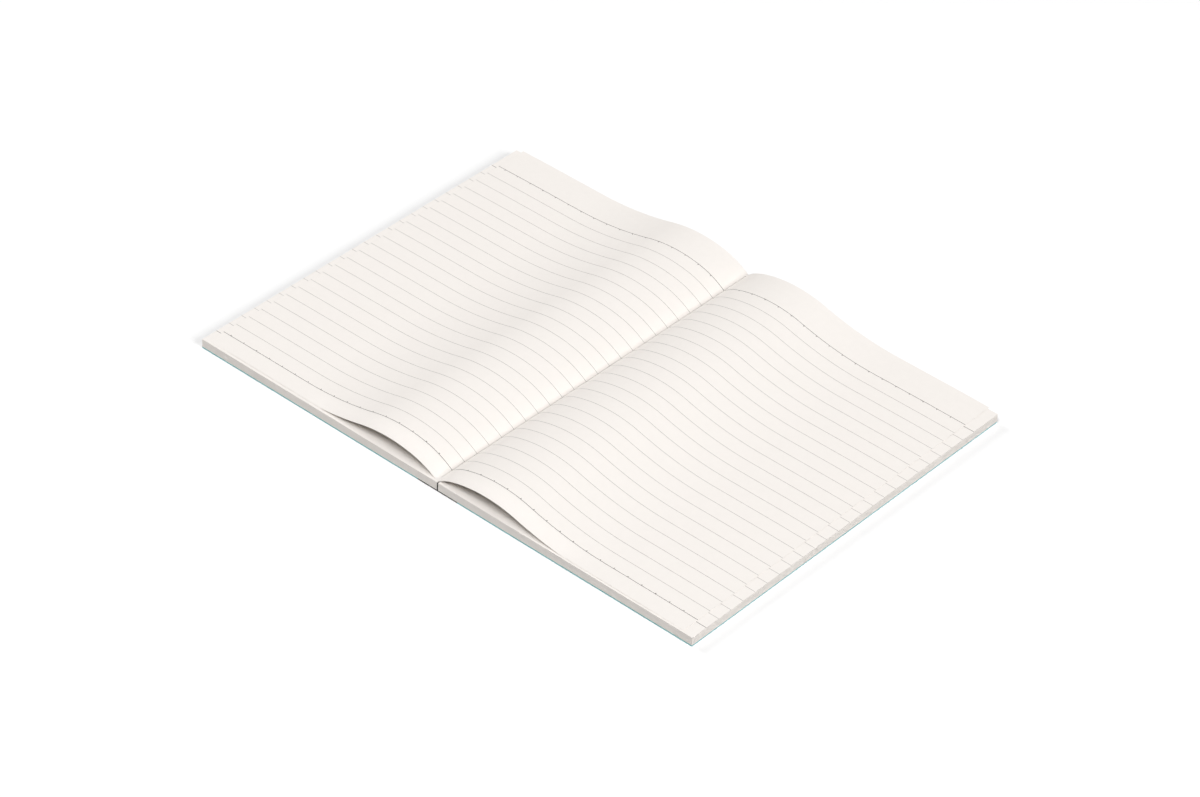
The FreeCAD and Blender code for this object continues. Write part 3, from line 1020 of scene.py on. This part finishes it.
def floor_and_air(stage, colours):
    """White floor, and even light from all round."""
    world = bpy.data.worlds.new("even_studio_light")
    world.use_nodes = True
    background = next(node for node in world.node_tree.nodes if node.type == "BACKGROUND")
    add = partial(add_node, world.node_tree)
    path = add("ShaderNodeLightPath").outputs
    seen = add("ShaderNodeMath", {
        0: path["Is Camera Ray"], 1: path["Is Transmission Ray"]}, operation="MAXIMUM")
    strength = add("ShaderNodeMapRange", {
        "Value": seen, "To Min": stage.dome_strength, "To Max": 1.0})
    set_inputs(background, {"Strength": strength, "Color": (1.0, 1.0, 1.0, 1.0)})
    bpy.context.scene.world = world
    half = stage.floor_size / 2.0
    corners = [(-half, -half, 0.0), (half, -half, 0.0), (half, half, 0.0), (-half, half, 0.0)]
    mesh = bpy.data.meshes.new("floor")
    mesh.from_pydata(corners, [], [(0, 1, 2, 3)])
    mesh.materials.append(plain_studio_floor(colours))
    new_object("floor", mesh)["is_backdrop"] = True


def softboxes(stage):
    """Low softboxes at the right and left, which round the lifted leaves, and a high one in
    front, which lights the page under them."""
    for side in ("right", "left", "front"):
        softbox = getattr(stage, side)
        height, turn = softbox.height, softbox.turn
        data = bpy.data.lights.new(side + "_softbox", "AREA")
        data.shape = "SQUARE"
        data.size = stage.softbox_size
        # A square lamp of this power lights a card at this distance by pi times the strength
        data.energy = softbox.strength * (math.pi * stage.softbox_distance) ** 2
        lamp = new_object(side + "_softbox", data)
        away = Vector((math.cos(turn) * math.cos(height), math.sin(turn) * math.cos(height),
                       math.sin(height)))
        lamp.location = away * stage.softbox_distance
        lamp.rotation_euler = away.to_track_quat("Z", "Y").to_euler()


def photo_camera(stage):
    """Camera with the place and lens of the photograph's."""
    turn = stage.azimuth
    tilt = stage.elevation
    back = Vector((math.sin(turn) * math.cos(tilt), -math.cos(turn) * math.cos(tilt),
                   math.sin(tilt)))
    level_right = Vector((math.cos(turn), math.sin(turn), 0.0))
    level_up = back.cross(level_right)
    right = math.cos(stage.roll) * level_right + math.sin(stage.roll) * level_up
    up = -math.sin(stage.roll) * level_right + math.cos(stage.roll) * level_up
    data = bpy.data.cameras.new("photo_camera")
    data.sensor_fit = "HORIZONTAL"
    data.lens = stage.focal_pixels * data.sensor_width / PHOTO_WIDTH
    data.clip_end = stage.floor_size * 2.0
    camera = new_object("photo_camera", data)
    place = back * stage.distance + right * stage.side_step + up * stage.rise_step
    axes = Matrix((right, up, back)).transposed().to_4x4()
    camera.matrix_world = Matrix.Translation(place) @ axes
    bpy.context.scene.camera = camera


class NOTEBOOK_OT_stage(Operator):
    """Set the floor, the light and the photograph's camera"""
    bl_idname = "notebook.stage"
    bl_label = "Stage"

    def execute(self, context):
        settings = context.scene.notebook
        floor_and_air(settings.stage, settings.colours)
        softboxes(settings.stage)
        photo_camera(settings.stage)
        context.scene.view_settings.view_transform = "Standard"
        return {"FINISHED"}


# Sidebar and registration

OPERATORS = (
    NOTEBOOK_OT_page_blocks,
    NOTEBOOK_OT_lifted_leaves,
    NOTEBOOK_OT_ruling,
    NOTEBOOK_OT_spine_tape,
    NOTEBOOK_OT_covers,
    NOTEBOOK_OT_stage,
)


class NOTEBOOK_PT_sidebar(Panel):
    """Settings of the notebook and the steps that build it"""
    bl_idname = "NOTEBOOK_PT_sidebar"
    bl_label = "Open Notebook"
    bl_space_type = "VIEW_3D"
    bl_region_type = "UI"
    bl_category = "Notebook"

    def draw(self, context):
        settings = context.scene.notebook
        for group in (settings.paper, settings.paper.left, settings.paper.right,
                      settings.ruling, settings.tape, settings.colours, settings.stage,
                      settings.stage.right, settings.stage.left, settings.stage.front):
            box = self.layout.box()
            for prop in group.bl_rna.properties:
                if prop.type in {"FLOAT", "INT", "STRING"} and prop.identifier != "name":
                    box.prop(group, prop.identifier)
        for operator in OPERATORS:
            self.layout.operator(operator.bl_idname)


CLASSES = (
    LeafSettings,
    PaperSettings,
    RulingSettings,
    TapeSettings,
    ColourSettings,
    SoftboxSettings,
    StageSettings,
    NotebookSettings,
    *OPERATORS,
    NOTEBOOK_PT_sidebar,
)


def register():
    for cls in CLASSES:
        bpy.utils.register_class(cls)
    bpy.types.Scene.notebook = PointerProperty(type=NotebookSettings)


def unregister():
    del bpy.types.Scene.notebook
    for cls in reversed(CLASSES):
        bpy.utils.unregister_class(cls)


def set_left_leaf(leaf):
    """The left leaf lies a little differently from the right one, whose curve is the
    default."""
    leaf.foot_reach = 90.4 * MM
    leaf.crest_reach = 30.4 * MM
    leaf.crest_radius = 67.0 * MM
    leaf.crest_to_fall = 15.2 * MM
    leaf.landing_reach = 1.35 * MM
    leaf.first_tick = 4.4 * MM
    leaf.tick_pitch = 8.08 * MM


def set_other_softboxes(stage):
    """The left and the front softbox, beside the right one, whose values are the default."""
    for softbox, strength, height, turn in ((stage.left, 0.355, 30.0, 180.0),
                                            (stage.front, 0.615, 60.0, -73.0)):
        softbox.strength = strength
        softbox.height = math.radians(height)
        softbox.turn = math.radians(turn)


def write_sizes():
    boxes = {"cad": CAD_BOX, "visual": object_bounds()}
    sizes = {name: [list(corner) for corner in box] for name, box in boxes.items()}


def main():
    register()
    settings = bpy.context.scene.notebook
    set_left_leaf(settings.paper.left)
    set_other_softboxes(settings.stage)
    bpy.ops.notebook.page_blocks()
    bpy.ops.notebook.lifted_leaves()
    bpy.ops.notebook.ruling()
    bpy.ops.notebook.spine_tape()
    bpy.ops.notebook.covers()
    bpy.ops.notebook.stage()
    write_sizes()


if __name__ == "__main__":
    main()
